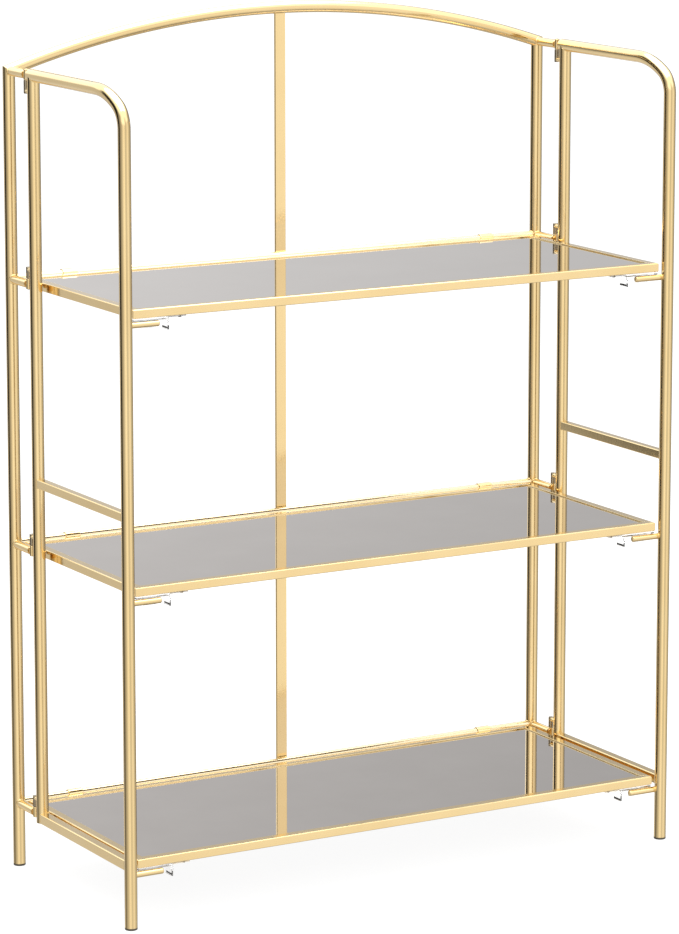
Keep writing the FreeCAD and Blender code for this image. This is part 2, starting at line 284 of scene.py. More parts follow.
def open_ring(place, way, radius):
    """Circle of edges square to a way, open in edit mode with all of it selected."""
    deselect_all()
    turn = way.to_track_quat("Z", "Y").to_euler()
    bpy.ops.mesh.primitive_circle_add(
        vertices=SIDES_OF_TUBE, radius=radius, fill_type="NOTHING", location=place, rotation=turn)
    piece = bpy.context.object
    apply_place(piece)
    edit_all(piece, "EDGE")
    return piece


def close_ends():
    """Fill both open rings of the pipe in edit mode and turn its faces outwards."""
    bpy.ops.mesh.select_all(action="SELECT")
    bpy.ops.mesh.fill_holes(sides=0)
    bpy.ops.mesh.normals_make_consistent(inside=False)
    close_edit()


def bent_rod(start, corner, end, bends, radius):
    """Round bar along two runs square to each other, with the bends spun between them."""
    start, corner, end = Vector(start), Vector(corner), Vector(end)
    along = (corner - start).normalized()
    ahead = (end - corner).normalized()
    arcs = []
    place = Vector()
    turned = 0.0
    for bend_radius, degrees, steps in bends:
        angle = math.radians(degrees)
        centre = place + (ahead * math.cos(turned) - along * math.sin(turned)) * bend_radius
        arcs.append((centre, angle, steps))
        turned += angle
        place = centre - (ahead * math.cos(turned) - along * math.sin(turned)) * bend_radius
    bend_start = corner - along * place.dot(along)
    bend_end = corner + ahead * place.dot(ahead)
    axis = ahead.cross(along)
    piece = open_ring(start, along, radius)
    bpy.ops.mesh.extrude_region_move(TRANSFORM_OT_translate={"value": bend_start - start})
    for centre, angle, steps in arcs:
        bpy.ops.mesh.spin(steps=steps, angle=angle, center=bend_start + centre, axis=axis)
    bpy.ops.mesh.extrude_region_move(TRANSFORM_OT_translate={"value": end - bend_end})
    close_ends()
    hold_ring(piece, bend_start - along * radius * BEND_HOLD_SHARE, along)
    hold_ring(piece, bend_end + ahead * radius * BEND_HOLD_SHARE, ahead)
    return piece


def cuboid(low, high):
    deselect_all()
    bpy.ops.mesh.primitive_cube_add(size=1.0, location=(low + high) / 2, scale=high - low)
    piece = bpy.context.object
    apply_place(piece)
    return piece


def block(low, high, ease):
    """Rectangular bar with all its edges eased."""
    piece = cuboid(Vector(low), Vector(high))
    edit_all(piece, "EDGE")
    bpy.ops.mesh.bevel(offset=ease, segments=2, profile=0.5)
    close_edit()
    return piece


def on_block_edge(edge, low, high, way):
    """Whether an edge still lies on two faces of the block, so it hasn't been rounded yet."""
    place = edge.verts[0].co
    touched = 0
    for axis in range(3):
        if not way[axis]:
            gap = min(abs(place[axis] - low[axis]), abs(place[axis] - high[axis]))
            touched += gap < ON_EDGE
    return touched == 2


def runs_along(edge, way):
    run = edge.verts[0].co - edge.verts[1].co
    return run.length > SHORTEST_BAR and abs(run.normalized().dot(way)) > NEARLY_ALONG


def square_bar(low, high, along, crisp=(0, 0, 0)):
    """Square tube along one axis, its upper edges rolled rounder than its lower ones.

    On the crisp side the upper edge is a fine one, as next to a panel.
    """
    low, high = Vector(low), Vector(high)
    inward = Vector(crisp)
    way = Vector(along)
    piece = cuboid(low, high)
    middle = (low + high) / 2

    def corner_of(edge):
        place = edge.verts[0].co - middle
        if place.z < 0:
            return BAR_LOWER_CORNER
        return BAR_PANEL_CORNER if place.dot(inward) > 0 else BAR_CORNER

    for corner in (BAR_LOWER_CORNER, BAR_PANEL_CORNER, BAR_CORNER):
        mesh = edit(piece, "EDGE")
        chosen = [edge for edge in mesh.edges if runs_along(edge, way)
                  and on_block_edge(edge, low, high, way) and corner_of(edge) == corner]
        pick_edges(piece, mesh, lambda edge: edge in chosen)
        bpy.ops.mesh.bevel(offset=corner, segments=5, profile=0.5)
        close_edit()
    return piece


def cut_away(piece, place, normal, ease=0.0):
    """Cut the piece on a plane, drop what lies behind it and close the cut."""
    normal = Vector(normal).normalized()
    edit_all(piece, "VERT")
    bpy.ops.mesh.bisect(plane_co=place, plane_no=normal, use_fill=True, clear_inner=True)
    close_edit()
    if ease:
        ease_rim(piece, Vector(place), normal, ease, segments=2)


def joined(name, pieces):
    deselect_all()
    for piece in pieces:
        piece.select_set(True)
    bpy.context.view_layer.objects.active = pieces[0]
    bpy.ops.object.join()
    whole = bpy.context.object
    whole.name = name
    whole.data.name = name
    return whole


def finish_piece(piece, name, body, slot, nodes=(), smooth=40):
    """Name the piece, smooth it, give it its finish and let it ride on its body."""
    piece.name = name
    piece.data.name = name
    make_active(piece)
    bpy.ops.object.shade_smooth_by_angle(angle=math.radians(smooth))
    even = piece.modifiers.new("even_shading", "WEIGHTED_NORMAL")
    even.keep_sharp = True
    bpy.ops.object.modifier_apply(modifier="even_shading")
    piece.data.materials.clear()
    piece.data.materials.append(FINISH[slot])
    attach(piece, body)
    if nodes:
        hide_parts(*nodes)


# Welds


def section_outline(half_wide, half_high, corner):
    """Points round a rectangle with round corners, or a circle where the corner fills it."""
    points = []
    for quarter, (wide, high) in enumerate(((1, 1), (-1, 1), (-1, -1), (1, -1))):
        for step in range(OUTLINE_STEPS):
            angle = math.radians(90 * (quarter + step / OUTLINE_STEPS))
            across = wide * (half_wide - corner) + corner * math.cos(angle)
            along = high * (half_high - corner) + corner * math.sin(angle)
            points.append((across, along))
    return points


def bead(points, thickness=WELD_BEAD):
    """Closed weld bead through the points."""
    curve = bpy.data.curves.new("weld_bead", "CURVE")
    curve.dimensions = "3D"
    curve.bevel_depth = thickness
    curve.bevel_resolution = 2
    spline = curve.splines.new("POLY")
    spline.points.add(len(points) - 1)
    for index, point in enumerate(points):
        spline.points[index].co = (*point, 1.0)
    spline.use_cyclic_u = True
    piece = bpy.data.objects.new("weld_bead", curve)
    bpy.context.scene.collection.objects.link(piece)
    make_active(piece)
    bpy.ops.object.convert(target="MESH")
    return bpy.context.object


def saddle_weld(base, out, along, onto_radius, half_wide, half_high=None, corner=None,
                thickness=WELD_BEAD):
    """Bead where a bar leaves a round tube; base is on the tube's centre line."""
    base, out, along = Vector(base), Vector(out), Vector(along)
    across = out.cross(along)
    half_high = half_high or half_wide
    corner = corner or half_wide
    points = []
    for wide, high in section_outline(half_wide, half_high, corner):
        rise = math.sqrt(max(onto_radius ** 2 - wide ** 2, 0.0))
        points.append(base + out * rise + across * wide + along * high)
    return bead(points, thickness)


# Back frame


def shoulder(side):
    return Vector((side * LEG_X, LEG_Y, SHOULDER_Z))


def mitre_up(side):
    """Upward normal of the plane where a leg meets the arch."""
    return Vector((-side * math.sin(MITRE_TILT), 0, math.cos(MITRE_TILT)))


def rear_legs():
    for name, side in SIDES.items():
        foot = (side * LEG_X, LEG_Y, GLIDE_HEIGHT)
        leg = round_rod(foot, shoulder(side) + Vector((0, 0, 2 * TUBE)), TUBE)
        cut_away(leg, shoulder(side), -mitre_up(side))
        finish_piece(leg, "rear_leg_tube_" + name, "back_frame", "gold_steel", ["rear_leg_" + name])


def top_arch():
    """Arched tube with a short straight run at each end, mitred to both legs."""
    rise, run = math.sin(ARCH_ANGLE), math.cos(ARCH_ANGLE)
    reach = ARCH_END_RUN + MITRE_REACH
    centre = Vector((0, LEG_Y, ARCH_CENTRE_Z))
    spring = centre + Vector((-rise, 0, run)) * ARCH_RADIUS
    onto = Vector((run, 0, rise))
    arch = open_ring(spring - onto * reach, onto, ARCH_TUBE)
    bpy.ops.mesh.extrude_region_move(TRANSFORM_OT_translate={"value": onto * reach})
    bpy.ops.mesh.spin(steps=ARCH_STEPS, angle=2 * ARCH_ANGLE, center=centre, axis=(0, -1, 0))
    down_run = Vector((run, 0, -rise)) * reach
    bpy.ops.mesh.extrude_region_move(TRANSFORM_OT_translate={"value": down_run})
    close_ends()
    for side in SIDES.values():
        cut_away(arch, shoulder(side), mitre_up(side))
    finish_piece(arch, "top_arch_tube", "back_frame", "gold_steel", ["top_arch"])


def rear_rails():
    for level, height in RAIL_Z.items():
        rail = round_rod((-LEG_X, LEG_Y, height), (LEG_X, LEG_Y, height), RAIL)
        node = "rear_rail_" + level
        finish_piece(rail, "rear_rail_tube_" + level, "back_frame", "gold_steel", [node])
        rail.data.materials[0] = FINISH["satin_gold"]


def centre_bar():
    near = LEG_Y + RAIL - CENTRE_BAR_SEAT
    low = (-CENTRE_BAR_HALF, near, RAIL_Z["bottom"] - RAIL)
    high = (CENTRE_BAR_HALF, near + CENTRE_BAR_THICKNESS, ARCH_CENTRE_Z + ARCH_RADIUS)
    bar = block(low, high, CENTRE_BAR_EASE)
    finish_piece(bar, "centre_flat_bar", "back_frame", "gold_steel", ["centre_bar"])


def arm_heights():
    return [*RAIL_Z.values(), TOP_ARM_Z]


def hinge_arms():
    """Short arms on each leg, each welded to an upright barrel that holds a pin."""
    arm_end = PIN_Y + BARREL - BARREL_OVERLAP
    for name, side in SIDES.items():
        x = side * LEG_X
        parts = []
        for height in arm_heights():
            root = (x, LEG_Y, height)
            parts.append(round_rod(root, (x, arm_end, height), ARM, ease=RIM_EASE))
            low = (x, PIN_Y, height - BARREL_HALF)
            high = (x, PIN_Y, height + BARREL_HALF)
            parts.append(round_rod(low, high, BARREL, SIDES_OF_WIRE, RIM_EASE))
        arms = joined("arms", parts)
        node = "hinge_arms_" + name
        finish_piece(arms, "hinge_arms_and_barrels_" + name, "back_frame", "gold_steel", [node])


def glide(x, y):
    """Foot with a rolled lower edge under a tube."""
    foot = round_rod((x, y, 0), (x, y, GLIDE_HEIGHT), TUBE)
    ease_rim(foot, Vector((x, y, 0)), Vector((0, 0, 1)), GLIDE_EDGE, segments=4)
    return foot


def back_welds():
    """Beads round the arms, rails and barrels, and along the flat bar's edges."""
    out_of_arm = Vector((0, -1, 0))
    up = Vector((0, 0, 1))
    wide = BARREL * BARREL_WELD_SHARE
    beads = []
    for side in SIDES.values():
        for height in RAIL_Z.values():
            base = (side * LEG_X, LEG_Y, height)
            beads.append(saddle_weld(base, out_of_arm, up, TUBE, ARM))
            beads.append(saddle_weld(base, (-side, 0, 0), up, TUBE, RAIL))
        base = (side * LEG_X, LEG_Y, TOP_ARM_Z)
        beads.append(saddle_weld(base, out_of_arm, (1, 0, 0), TUBE, ARM))
        for height in arm_heights():
            barrel = (side * LEG_X, PIN_Y, height)
            beads.append(saddle_weld(barrel, (0, 1, 0), up, BARREL, wide, ARM, wide, FINE_BEAD))
    seat = LEG_Y + RAIL - CENTRE_BAR_SEAT / 2
    for height in RAIL_Z.values():
        for edge in (-1, 1):
            x = edge * CENTRE_BAR_HALF
            ends = [Vector((x, seat, height + way * BAR_WELD_HALF)) for way in (-1, 1)]
            beads.append(bead(ends))
    welds = joined("welds", beads)
    finish_piece(welds, "back_frame_weld_beads", "back_frame", "gold_steel", smooth=60)


def back_frame():
    rear_legs()
    top_arch()
    rear_rails()
    centre_bar()
    hinge_arms()
    feet = joined("feet", [glide(side * LEG_X, LEG_Y) for side in SIDES.values()])
    finish_piece(feet, "rear_feet", "back_frame", "glide_plastic", ["rear_foot_glides"])
    back_welds()


# Side frames


def side_tube(name, x):
    """Front post, bend and top tube in one, with a plug let into its rear end."""
    foot = (x, POST_Y, GLIDE_HEIGHT)
    corner = (x, POST_Y, SIDE_TOP_Z)
    rear_end = Vector((x, REAR_POST_Y + TUBE, SIDE_TOP_Z))
    tube = bent_rod(foot, corner, rear_end, SIDE_BENDS, TUBE)
    sink_end(tube, rear_end, Vector((0, 1, 0)), TUBE_WALL, PLUG_RECESS)
    node = name + "_side_tube"
    finish_piece(tube, name + "_bent_side_tube", name + "_side_frame", "gold_steel", [node])


def rear_post(name, x):
    """Rear post under the top tube, with a plug let into its lower end."""
    foot = Vector((x, REAR_POST_Y, SHELF_Z["bottom"]))
    post = round_rod(foot, (x, REAR_POST_Y, SIDE_TOP_Z), TUBE)
    sink_end(post, foot, Vector((0, 0, -1)), TUBE_WALL, PLUG_RECESS)
    nodes = [name + "_rear_post", name + "_end_plugs"]
    finish_piece(post, name + "_rear_post_tube", name + "_side_frame", "gold_steel", nodes)


def side_rails(name, x):
    for rail, half, height in side_rail_places():
        low = (x - half, POST_Y, height - half)
        high = (x + half, REAR_POST_Y, height + half)
        bar = square_bar(low, high, (0, 1, 0))
        node = f"{name}_{rail}"
        finish_piece(bar, node + "_tube", name + "_side_frame", "gold_steel", [node])


def side_rail_places():
    bottom = SHELF_Z["bottom"] + BOTTOM_RAIL_HALF
    return (("mid_rail", MID_RAIL_HALF, MID_RAIL_Z), ("bottom_rail", BOTTOM_RAIL_HALF, bottom))


def pin_places():
    """Height of the arm, way from it to the stub, and height of the stub, for the four pins."""
    places = [(height, 1, height + STUB_RISE) for height in RAIL_Z.values()]
    return places + [(TOP_ARM_Z, -1, TOP_ARM_Z - TOP_STUB_DROP)]


def hinge_pins(name, x):
    """Thin pins in the barrels, each with a knuckle beyond the barrel and a stub to the post."""
    parts = []
    for arm, way, stub in pin_places():
        free_end = (x, PIN_Y, arm - way * (BARREL_HALF + PIN_TAIL))
        knuckle_end = (x, PIN_Y, arm + way * (BARREL_HALF + KNUCKLE_GAP))
        cap = (x, PIN_Y, stub + way * (STUB + KNUCKLE_CAP))
        turn = (x, PIN_Y, stub)
        parts.append(round_rod(free_end, turn, PIN, SIDES_OF_WIRE, RIM_EASE))
        parts.append(round_rod(knuckle_end, cap, KNUCKLE, SIDES_OF_WIRE, RIM_EASE))
        parts.append(round_rod(turn, (x, REAR_POST_Y, stub), STUB, SIDES_OF_WIRE))
    pins = joined("pins", parts)
    node = name + "_hinge_pins"
    finish_piece(pins, name + "_stepped_pins", name + "_side_frame", "gold_steel", [node])
    # Pins and knuckles on the barrels' axis take the darker gold, which is painted shade between
    # leg and post
    pins.data.materials.append(FINISH["painted_shade_gold"])
    for face in pins.data.polygons:
        if math.hypot(face.center.x - x, face.center.y - PIN_Y) < KNUCKLE + RIM_EASE:
            face.material_index = 1


def rod_height(level):
    return SHELF_Z[level] - ROD_GAP - ROD


def latch_rods(name, side):
    rods = []
    for level in LEVELS:
        height = rod_height(level)
        y = POST_Y + ROD_SETBACK
        free_end = Vector((side * (LEG_X - ROD_REACH), y, height))
        rod = round_rod(free_end, (side * LEG_X, y, height), ROD, SIDES_OF_WIRE)
        ease_rim(rod, free_end, Vector((1, 0, 0)), ROD_ROUND, segments=5)
        rods.append(rod)
    rods = joined("rods", rods)
    node = name + "_latch_rods"
    finish_piece(rods, name + "_round_latch_rods", name + "_side_frame", "gold_steel", [node])


def side_welds(name, side):
    """Beads round the rear post's top, the square rails, the pins' stubs and the latch rods."""
    x = side * LEG_X
    up = Vector((0, 0, 1))
    along = Vector((0, 1, 0))
    wide = TUBE - FINE_BEAD
    post_top = (x, REAR_POST_Y, SIDE_TOP_Z)
    beads = [saddle_weld(post_top, -up, along, TUBE, wide, TUBE, wide, FINE_BEAD)]
    for _, half, height in side_rail_places():
        for y, out in ((POST_Y, along), (REAR_POST_Y, -along)):
            base = (x, y, height)
            beads.append(saddle_weld(base, out, up, TUBE, half, half, BAR_CORNER, FINE_BEAD))
    for _, _, stub in pin_places():
        base = (x, REAR_POST_Y, stub)
        beads.append(saddle_weld(base, along, up, TUBE, STUB, thickness=FINE_BEAD))
    for level in LEVELS:
        beads.append(rod_weld(Vector((x, POST_Y + ROD_SETBACK, rod_height(level))), side))
    welds = joined("welds", beads)
    finish_piece(welds, name + "_side_weld_beads", name + "_side_frame", "gold_steel", smooth=60)


def rod_weld(centre, side):
    """Bead round a latch rod where it enters the front post off its middle."""
    points = []
    for deep, high in section_outline(ROD, ROD, ROD):
        offset = ROD_SETBACK + deep
        rise = math.sqrt(max(TUBE ** 2 - offset ** 2, 0.0))
        points.append(centre + Vector((-side * rise, deep, high)))
    return bead(points, FINE_BEAD)


def side_frame(name, side):
    x = side * LEG_X
    side_tube(name, x)
    rear_post(name, x)
    side_rails(name, x)
    hinge_pins(name, x)
    latch_rods(name, side)
    foot = glide(x, POST_Y)
    node = name + "_front_glide"
    finish_piece(foot, name + "_front_foot", name + "_side_frame", "glide_plastic", [node])
    side_welds(name, side)


# Shelves


def shelf_bars(level):
    """Four square bars mitred at the corners, each with a fine line left at the joint."""
    body = level + "_shelf"
    for bar, along, inward, ways in (
        ("front_bar", (1, 0, 0), (0, 1, 0), ((1, -1), (-1, -1))),
        ("rear_bar", (1, 0, 0), (0, -1, 0), ((1, 1), (-1, 1))),
        ("left_bar", (0, 1, 0), (1, 0, 0), ((-1, 1), (-1, -1))),
        ("right_bar", (0, 1, 0), (-1, 0, 0), ((1, 1), (1, -1))),
    ):
        node = f"{level}_shelf_{bar}"
        low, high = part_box(node)
        piece = square_bar(low, high, along, inward)
        for x_way, y_way in ways:
            if bar in ("front_bar", "rear_bar"):
                corner = (low.x if x_way > 0 else high.x, high.y if y_way > 0 else low.y, 0)
            else:
                corner = (low.x if x_way < 0 else high.x, low.y if y_way > 0 else high.y, 0)
            cut_away(piece, corner, (x_way, y_way, 0), CORNER_LINE)
        finish_piece(piece, node + "_square_tube", body, "gold_steel", [node], smooth=30)


def hinge_sleeves(level):
    """Two sleeves round the rear rail, each bridged to the rear bar."""
    parts = []
    middle = SHELF_Z[level] + (SHELF_BOX_HIGH.z - SHELF_BOX_LOW.z) / 2
    way = Vector((1, 0, 0))
    for side in SIDES.values():
        centre = side * (SHELF_BOX_HIGH.x - SLEEVE_INSET)
        start = Vector((centre - SLEEVE_HALF, LEG_Y, RAIL_Z[level]))
        end = Vector((centre + SLEEVE_HALF, LEG_Y, RAIL_Z[level]))
        ring = round_rod(start, end, SLEEVE, ease=SLEEVE_EASE)
        sink_end(ring, start, -way, SLEEVE_LIP, SLEEVE_RECESS)
        sink_end(ring, end, way, SLEEVE_LIP, SLEEVE_RECESS)
        low = (start.x, SHELF_BOX_HIGH.y - BRIDGE_OVERLAP, middle - BRIDGE_HALF)
        high = (end.x, LEG_Y, middle + BRIDGE_HALF)
        parts += [ring, block(low, high, BRIDGE_EASE)]
    sleeves = joined("sleeves", parts)
    node = level + "_shelf_hinge_sleeves"
    finish_piece(sleeves, level + "_shelf_rail_sleeves", level + "_shelf", "gold_steel", [node])


def catches(level):
    """Clear catches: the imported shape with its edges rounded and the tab's groove dark."""
    node = level + "_shelf_catches"
    packed = frame["nodes"][node]
    piece = packed.copy()
    piece.data = packed.data.copy()
    for key in list(piece.keys()):
        del piece[key]
    bpy.context.scene.collection.objects.link(piece)
    edit_all(piece, "VERT")
    bpy.ops.mesh.remove_doubles(threshold=ON_EDGE)
    bpy.ops.mesh.dissolve_limited(angle_limit=math.radians(FLAT_DEGREES))
    close_edit()
    soften = piece.modifiers.new("soften", "BEVEL")
    soften.width = CATCH_EASE
    soften.segments = 2
    soften.limit_method = "ANGLE"
    bpy.ops.object.modifier_apply(modifier="soften")
    finish_piece(piece, level + "_shelf_moulded_catches", level + "_shelf", "catch_plastic", [node])
    piece.data.materials.append(FINISH["catch_groove"])
    under = SHELF_Z[level]
    tab = [vertex.co for vertex in piece.data.vertices if vertex.co.z < under - TAB_START]
    inner = min(abs(place.x) for place in tab)
    for face in piece.data.polygons:
        place = face.center
        deep = inner + GROOVE_LIP < abs(place.x) < inner + GROOVE_REACH
        low = under - GROOVE_BOTTOM < place.z < under - GROOVE_TOP
        if deep and low and abs(place.y - GROOVE_Y) < GROOVE_HALF:
            face.material_index = 1


def catch_screws(level):
    """Round-headed screws under the catches' plates, each with a small recess."""
    parts = []
    y = SHELF_BOX_LOW.y + CATCH_MIDDLE
    top = SHELF_Z[level] - CATCH_PLATE
    down = Vector((0, 0, -1))
    for side in SIDES.values():
        x = side * (SHELF_BOX_HIGH.x - SCREW_INSET)
        low = Vector((x, y, top - SCREW_HEAD_HEIGHT))
        head = round_rod(low, (x, y, top), SCREW_HEAD, SIDES_OF_WIRE)
        ease_rim(head, low, -down, SCREW_HEAD_HEIGHT * SCREW_DOME_SHARE, segments=4)
        sink_end(head, low, down, SCREW_RIM, SCREW_RECESS)
        parts.append(head)
    screws = joined("screws", parts)
    node = level + "_shelf_catch_screws"
    name = level + "_shelf_round_head_screws"
    finish_piece(screws, name, level + "_shelf", "screw_steel", [node])


def shelf(level):
    shelf_bars(level)
    hinge_sleeves(level)
    catches(level)
    catch_screws(level)


# Shader helpers


def new_material(name):
    material = bpy.data.materials.new(name)
    material.use_nodes = True
    nodes = material.node_tree.nodes
    return material, material.node_tree, nodes["Principled BSDF"]


def add_node(tree, kind, **values):
    node = tree.nodes.new(kind)
    for key, value in values.items():
        setattr(node, key, value)
    return node


def set_inputs(node, **values):
    for key, value in values.items():
        node.inputs[key.replace("_", " ")].default_value = value


def ramp_stops(node, stops):
    """Fill a colour ramp with grey levels or colours at the given places."""
    elements = node.color_ramp.elements
    while len(elements) > 1:
        elements.remove(elements[-1])
    for index, (place, value) in enumerate(stops):
        element = elements[0] if index == 0 else elements.new(place)
        element.position = place
        element.color = (value, value, value, 1.0) if isinstance(value, float) else value


def ramp_of(tree, source, stops):
    ramp = add_node(tree, "ShaderNodeValToRGB")
    ramp_stops(ramp, stops)
    tree.links.new(source, ramp.inputs["Fac"])
    return ramp.outputs["Color"]


def surface_grain_group():
    """Shared unevenness of a finish: a slow tint mask, a roughness in a range and fine relief."""
    group = bpy.data.node_groups.new("surface_grain", "ShaderNodeTree")
    sockets = group.interface
    inputs = (("Cloud Scale", 9.0), ("Grain Scale", 900.0), ("Low", 0.2), ("High", 0.3))
    for name, default in inputs:
        socket = sockets.new_socket(name, in_out="INPUT", socket_type="NodeSocketFloat")
        socket.default_value = default
    for name in ("Tint", "Roughness", "Relief"):
        sockets.new_socket(name, in_out="OUTPUT", socket_type="NodeSocketFloat")
    link = group.links.new
    given = group.nodes.new("NodeGroupInput")
    result = group.nodes.new("NodeGroupOutput")
    place = group.nodes.new("ShaderNodeTexCoord").outputs["Object"]
    cloud = add_node(group, "ShaderNodeTexNoise")
    set_inputs(cloud, Detail=4.0, Roughness=0.55)
    link(place, cloud.inputs["Vector"])
    link(given.outputs["Cloud Scale"], cloud.inputs["Scale"])
    grain = add_node(group, "ShaderNodeTexNoise")
    set_inputs(grain, Detail=3.0, Roughness=0.6)
    link(place, grain.inputs["Vector"])
    link(given.outputs["Grain Scale"], grain.inputs["Scale"])
    mixed = add_node(group, "ShaderNodeMath", operation="MULTIPLY_ADD")
    mixed.inputs[1].default_value = 0.5
    link(cloud.outputs["Fac"], mixed.inputs[0])
    half = add_node(group, "ShaderNodeMath", operation="MULTIPLY")
    half.inputs[1].default_value = 0.5
    link(grain.outputs["Fac"], half.inputs[0])
    link(half.outputs[0], mixed.inputs[2])
    rough = add_node(group, "ShaderNodeMapRange")
    set_inputs(rough, From_Min=0.35, From_Max=0.65)
    link(mixed.outputs[0], rough.inputs["Value"])
    link(given.outputs["Low"], rough.inputs["To Min"])
    link(given.outputs["High"], rough.inputs["To Max"])
    link(cloud.outputs["Fac"], result.inputs["Tint"])
    link(rough.outputs["Result"], result.inputs["Roughness"])
    link(grain.outputs["Fac"], result.inputs["Relief"])
    return group


def grain_in(tree, shader, tints, cloud, grain, low, high, relief):
    """Place the shared grain in a material and feed its colour, roughness and relief."""
    link = tree.links.new
    node = add_node(tree, "ShaderNodeGroup", node_tree=bpy.data.node_groups["surface_grain"])
    set_inputs(node, Cloud_Scale=cloud, Grain_Scale=grain, Low=low, High=high)
    tint = add_node(tree, "ShaderNodeValToRGB")
    ramp_stops(tint, tints)
    link(node.outputs["Tint"], tint.inputs["Fac"])
    link(tint.outputs["Color"], shader.inputs["Base Color"])
    link(node.outputs["Roughness"], shader.inputs["Roughness"])
    bump = add_node(tree, "ShaderNodeBump")
    set_inputs(bump, Strength=relief, Distance=RELIEF_HEIGHT)
    link(node.outputs["Relief"], bump.inputs["Height"])
    link(bump.outputs["Normal"], shader.inputs["Normal"])


# Finishes

# Two tints of each finish, with their places on the slow mask
GOLD = ((0.3, (0.86, 0.635, 0.305, 1)), (0.7, (0.92, 0.70, 0.36, 1)))
SATIN_GOLD = ((0.3, (0.80, 0.63, 0.38, 1)), (0.7, (0.86, 0.69, 0.43, 1)))
# Gold for the pins, darker than the rest of the rack: painted shade between leg and post
PAINTED_SHADE_GOLD = ((0.3, (0.33, 0.27, 0.18, 1)), (0.7, (0.40, 0.33, 0.22, 1)))
MIRROR = ((0.35, (0.74, 0.69, 0.66, 1)), (0.7, (0.77, 0.72, 0.69, 1)))
CLEAR = ((0.35, (0.96, 0.955, 0.94, 1)), (0.65, (0.99, 0.985, 0.975, 1)))
DARK_STEEL = ((0.3, (0.10, 0.085, 0.06, 1)), (0.7, (0.17, 0.145, 0.11, 1)))
DARK_GROOVE = ((0.35, (0.05, 0.05, 0.05, 1)), (0.65, (0.08, 0.08, 0.08, 1)))
DARK_GLIDE = ((0.35, (0.10, 0.085, 0.06, 1)), (0.65, (0.14, 0.12, 0.09, 1)))
# Share of the mirror's tint, from straight above to edge on
MIRROR_SLANT = ((0.0, 0.38), (0.30, 0.38), (0.70, 1.0))
PLASTIC_SPREAD = 0.06
RELIEF_HEIGHT = 0.0003


def gold_lacquer(name, tints, smoothest, roughest):
    """Gold lacquered steel: a smooth metallic base with a slight orange peel."""
    material, tree, shader = new_material(name)
    grain_in(tree, shader, tints, cloud=9.0, grain=420.0, low=smoothest, high=roughest, relief=0.05)
    set_inputs(shader, Metallic=1.0, Coat_Weight=0.35, Coat_Roughness=0.06, Coat_IOR=1.5)
    return material


def mirror_glass():
    """Grey mirrored glass, darker from straight above, with a faint film of dust."""
    material, tree, shader = new_material("grey_mirror_glass")
    grain_in(tree, shader, MIRROR, cloud=14.0, grain=300.0, low=0.012, high=0.05, relief=0.0)
    set_inputs(shader, Metallic=1.0)
    tint = shader.inputs["Base Color"].links[0].from_socket
    facing = add_node(tree, "ShaderNodeLayerWeight")
    slant = ramp_of(tree, facing.outputs["Facing"], MIRROR_SLANT)
    shade = add_node(tree, "ShaderNodeMix", data_type="RGBA", blend_type="MULTIPLY")
    shade.inputs["Factor"].default_value = 1.0
    tree.links.new(tint, shade.inputs["A"])
    tree.links.new(slant, shade.inputs["B"])
    tree.links.new(shade.outputs["Result"], shader.inputs["Base Color"])
    return material


def moulded_plastic(name, tints, roughness):
    """Moulded plastic with a fine spark-eroded grain."""
    material, tree, shader = new_material(name)
    grain_in(tree, shader, tints, cloud=60.0, grain=1800.0, low=roughness - PLASTIC_SPREAD,
             high=roughness + PLASTIC_SPREAD, relief=0.08)
    return material


def clear_plastic():
    """Clear plastic of the catches, with a faint grain."""
    material, tree, shader = new_material("clear_catch_plastic")
    grain_in(tree, shader, CLEAR, cloud=60.0, grain=1800.0, low=0.03, high=0.08, relief=0.02)
    set_inputs(shader, Transmission_Weight=0.95, IOR=1.22)
    return material


def dark_steel():
    """Blackened steel of the catch screws."""
    material, tree, shader = new_material("dark_screw_steel")
    grain_in(tree, shader, DARK_STEEL, cloud=200.0, grain=1500.0, low=0.3, high=0.45, relief=0.1)
    set_inputs(shader, Metallic=1.0)
    return material


def finishes():
    surface_grain_group()
    return {
        "gold_steel": gold_lacquer("gold_lacquer", GOLD, smoothest=0.09, roughest=0.14),
        "satin_gold": gold_lacquer("satin_gold_lacquer", SATIN_GOLD, smoothest=0.16, roughest=0.22),
        # Pins' gold: a darker, rougher copy of the lacquer, its darkness painted shade
        "painted_shade_gold": gold_lacquer("painted_shade_gold_lacquer", PAINTED_SHADE_GOLD, smoothest=0.24, roughest=0.32),
        "mirror_glass": mirror_glass(),
        "catch_plastic": clear_plastic(),
        "catch_groove": moulded_plastic("dark_groove_plastic", DARK_GROOVE, roughness=0.45),
        "screw_steel": dark_steel(),
        "glide_plastic": moulded_plastic("dark_glide_plastic", DARK_GLIDE, roughness=0.5),
    }


def dress_packed_pieces():
    slots = {part["node"]: part["material_slot"] for part in record["subparts"]}
    for name, piece in frame["nodes"].items():
        piece.data.materials.clear()
        piece.data.materials.append(FINISH[slots[name]])


# The studio

# Grey levels of the room round the horizon, from the left (-X) by the front, right and rear
RING = (
    (0.0, 0.36),
    (0.06, 0.54),
    (0.11, 0.83),
    (0.15, 1.0),
    (0.185, 1.0),
    (0.212, 0.70),
    (0.235, 0.64),
    (0.270, 0.66),
    (0.30, 0.82),
    (0.335, 0.94),
    (0.36, 0.90),
    (0.396, 0.70),
    (0.45, 0.45),
    (0.55, 0.33),
    (0.585, 0.12),
    (0.632, 0.12),
    (0.648, 0.50),
    (0.70, 0.42),
    (0.744, 0.44),
    (0.80, 0.54),
    (0.838, 0.60),
    (0.848, 0.02),
    (0.936, 0.02),
    (0.955, 0.20),
    (1.0, 0.36),
)
# How far the level of the height alone replaces the ring, from straight down to straight up
HEIGHT_SHARE = ((0.0, 1.0), (0.28, 0.7), (0.39, 0.0), (0.70, 0.0), (0.85, 1.0), (1.0, 1.0))
HEIGHT_LEVEL = ((0.0, 0.45), (0.16, 0.45), (0.22, 0.75), (0.50, 0.75), (0.545, 0.9), (1.0, 0.9))
